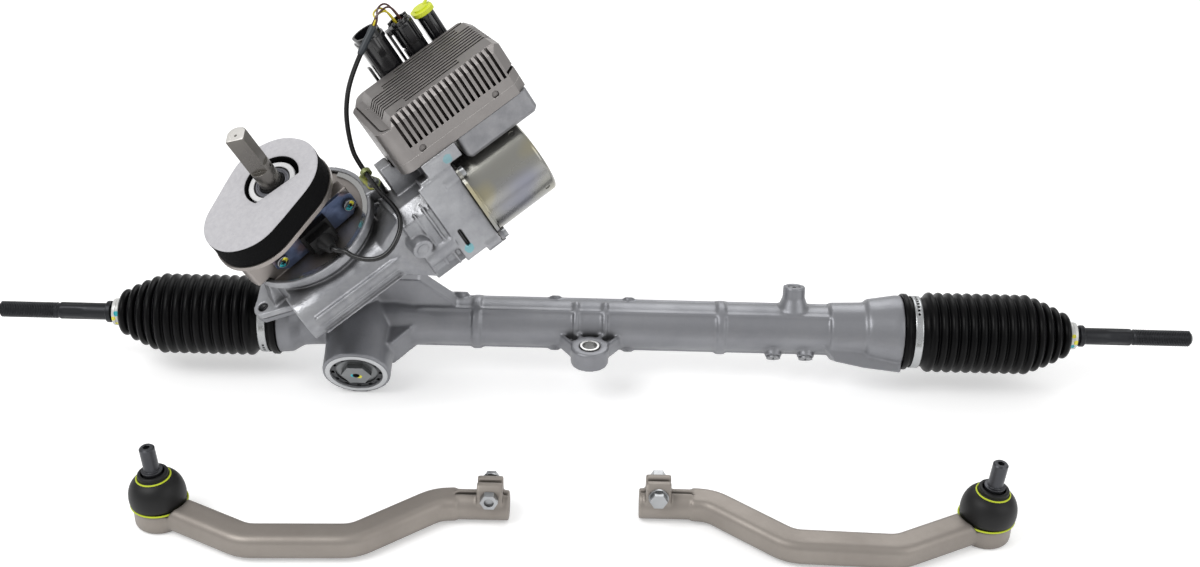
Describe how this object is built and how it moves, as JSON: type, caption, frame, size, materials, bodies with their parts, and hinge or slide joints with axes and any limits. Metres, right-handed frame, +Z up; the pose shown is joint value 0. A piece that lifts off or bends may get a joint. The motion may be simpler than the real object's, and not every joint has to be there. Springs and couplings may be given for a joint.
{
  "type": "steering rack",
  "caption": "Electric power steering rack: long tube with gaiters and tie rods, column-side gear case with worm motor and control unit, and loose outer tie rod ends.",
  "frame": {"origin": "centre of the bushed bolt hole in the middle bracket, at the bracket's lower face", "axes": "+X along the rack towards the end away from the pinion, +Y from the bracket bolt towards the rack, +Z up along the bolt"},
  "size_m": [1.075, 0.3709, 0.3366],
  "materials": {
    "cast_housing": "as-cast, matte",
    "cast_case": "as-cast, brighter",
    "unit_alloy": "warm grey cast",
    "sensor_sheet": "bluish passivated sheet",
    "black_plastic": "moulded black",
    "coil_plastic": "moulded bobbin",
    "sheet_steel": "zinc plated sheet",
    "foam": "speckled closed-cell foam with black sides",
    "rubber_black": "black rubber",
    "bush_steel": "steel sleeve",
    "bolts": "zinc plated",
    "plugs": "phosphated steel",
    "yoke_metal": "sintered",
    "spring_steel": "oiled spring wire",
    "bearing_steel": "ground and polished",
    "plain_polymer": "white acetal",
    "lamination": "laminated core and windings",
    "motor_zinc": "yellow zinc plated can",
    "board": "circuit board",
    "cap_yellow": "neon yellow cap",
    "wire_yellow": "insulated wire",
    "clip_green": "yellow-green zinc plated strap",
    "forged_black": "black phosphate",
    "machined_steel": "machined steel",
    "wheel_polymer": "cream gear polymer",
    "forged_grey": "warm grey forged steel",
    "ring_yellow": "yellow-green spring rings"
  },
  "bodies": {
    "housing": {"bellows_clamps": "sheet_steel", "bellows_left": "rubber_black", "bellows_right": "rubber_black", "boot_rings": "ring_yellow", "cable_clip": "clip_green", "cable_plug": "black_plastic", "case_ring": "sheet_steel", "case_screws": "bolts", "centre_bush": "bush_steel", "foam_gasket": "foam", "gasket_plate": "sheet_steel", "gear_case": "cast_case", "housing_plugs": "plugs", "motor_can": "motor_zinc", "outer_bearings": "bearing_steel", "outer_ends": "forged_grey", "pinch_bolts": "bolts", "power_socket": "black_plastic", "rack_bush": "plain_polymer", "rack_housing": "cast_housing", "rack_stops": "bush_steel", "rubber_seals": "rubber_black", "sensor_boot": "black_plastic", "sensor_cable": "rubber_black", "sensor_coil": "coil_plastic", "sensor_housing": "cast_case", "sensor_plate": "sensor_sheet", "sensor_wires": "wire_yellow", "signal_socket": "black_plastic", "spare_socket": "black_plastic", "stator": "lamination", "stud_boots": "rubber_black", "terminal_box": "unit_alloy", "unit_base": "unit_alloy", "unit_board": "board", "unit_cover": "unit_alloy", "yoke": "yoke_metal", "yoke_lock_ring": "plugs", "yoke_plug": "plugs", "yoke_spring": "spring_steel"},
    "rack": {"rack_bar": "machined_steel", "inner_sockets": "forged_black", "ball_seats": "plain_polymer"},
    "pinion": {"pinion_shaft": "machined_steel", "pinion_shaft_rings": "bearing_steel", "worm_wheel_hub": "machined_steel", "worm_wheel_rim": "wheel_polymer", "torsion_bar": "spring_steel"},
    "worm_drive": {"worm": "machined_steel", "motor_shaft": "machined_steel", "rotor": "lamination", "worm_shaft_rings": "bearing_steel"},
    "input": {"input_shaft": "machined_steel", "input_shaft_rings": "bearing_steel"},
    "tie_left": {"tie_rod_left": "forged_black"},
    "tie_right": {"tie_rod_right": "forged_black"},
    "stud_left": {"ball_stud_left": "machined_steel"},
    "stud_right": {"ball_stud_right": "machined_steel"},
    "cap": {"socket_cap": "cap_yellow"}
  },
  "joints": [
    {"name": "worm_spin", "type": "hinge", "parent": "housing", "child": "worm_drive", "pos_m": [-0.20411, -0.01772, 0.08513], "axis": [0.7731, 0.4164, 0.4785], "range_deg": [-8517.51, 9784.43]},
    {"name": "rack_slide", "type": "slide", "parent": "housing", "child": "rack", "axis": [1, 0, 0], "range_m": [-0.0695, 0.0605], "deforming": ["bellows_left", "bellows_right", "bellows_clamps"]},
    {"name": "pinion_spin", "type": "hinge", "parent": "housing", "child": "pinion", "pos_m": [-0.2045, 0.05711, 0.02063], "axis": [-0.3305, -0.3794, 0.8642], "range_deg": [-480, 420]},
    {"name": "input_twist", "type": "hinge", "parent": "pinion", "child": "input", "pos_m": [-0.2045, 0.05711, 0.02063], "axis": [-0.3305, -0.3794, 0.8642], "range_deg": [-4.5, 4.5], "stiffness_Nm_per_rad": 2, "deforming": ["torsion_bar"]},
    {"name": "tie_swing_left", "type": "hinge", "parent": "rack", "child": "tie_left", "pos_m": [-0.386, 0.042, 0.014], "axis": [0, 1, 0], "range_deg": [-18, 18], "deforming": ["bellows_left", "bellows_clamps"]},
    {"name": "tie_swing_right", "type": "hinge", "parent": "rack", "child": "tie_right", "pos_m": [0.395, 0.042, 0.014], "axis": [0, 1, 0], "range_deg": [-18, 18], "deforming": ["bellows_right", "bellows_clamps"]},
    {"name": "stud_tilt_left", "type": "hinge", "parent": "housing", "child": "stud_left", "pos_m": [-0.3326, -0.1848, -0.0228], "axis": [0, 1, 0], "range_deg": [-16, 16], "deforming": ["stud_boots", "boot_rings"]},
    {"name": "stud_tilt_right", "type": "hinge", "parent": "housing", "child": "stud_right", "pos_m": [0.316, -0.178, -0.0228], "axis": [0, 1, 0], "range_deg": [-16, 16], "deforming": ["stud_boots", "boot_rings"]},
    {"name": "cap_pull", "type": "slide", "parent": "housing", "child": "cap", "axis": [-0.5092, -0.0422, 0.8596], "range_m": [0, 0.016]}
  ],
  "couplings": [
    {"joint": "worm_spin", "follows": "rack_slide", "rad_per_m": -2456.9},
    {"joint": "pinion_spin", "follows": "rack_slide", "rad_per_m": 119.85}
  ]
}
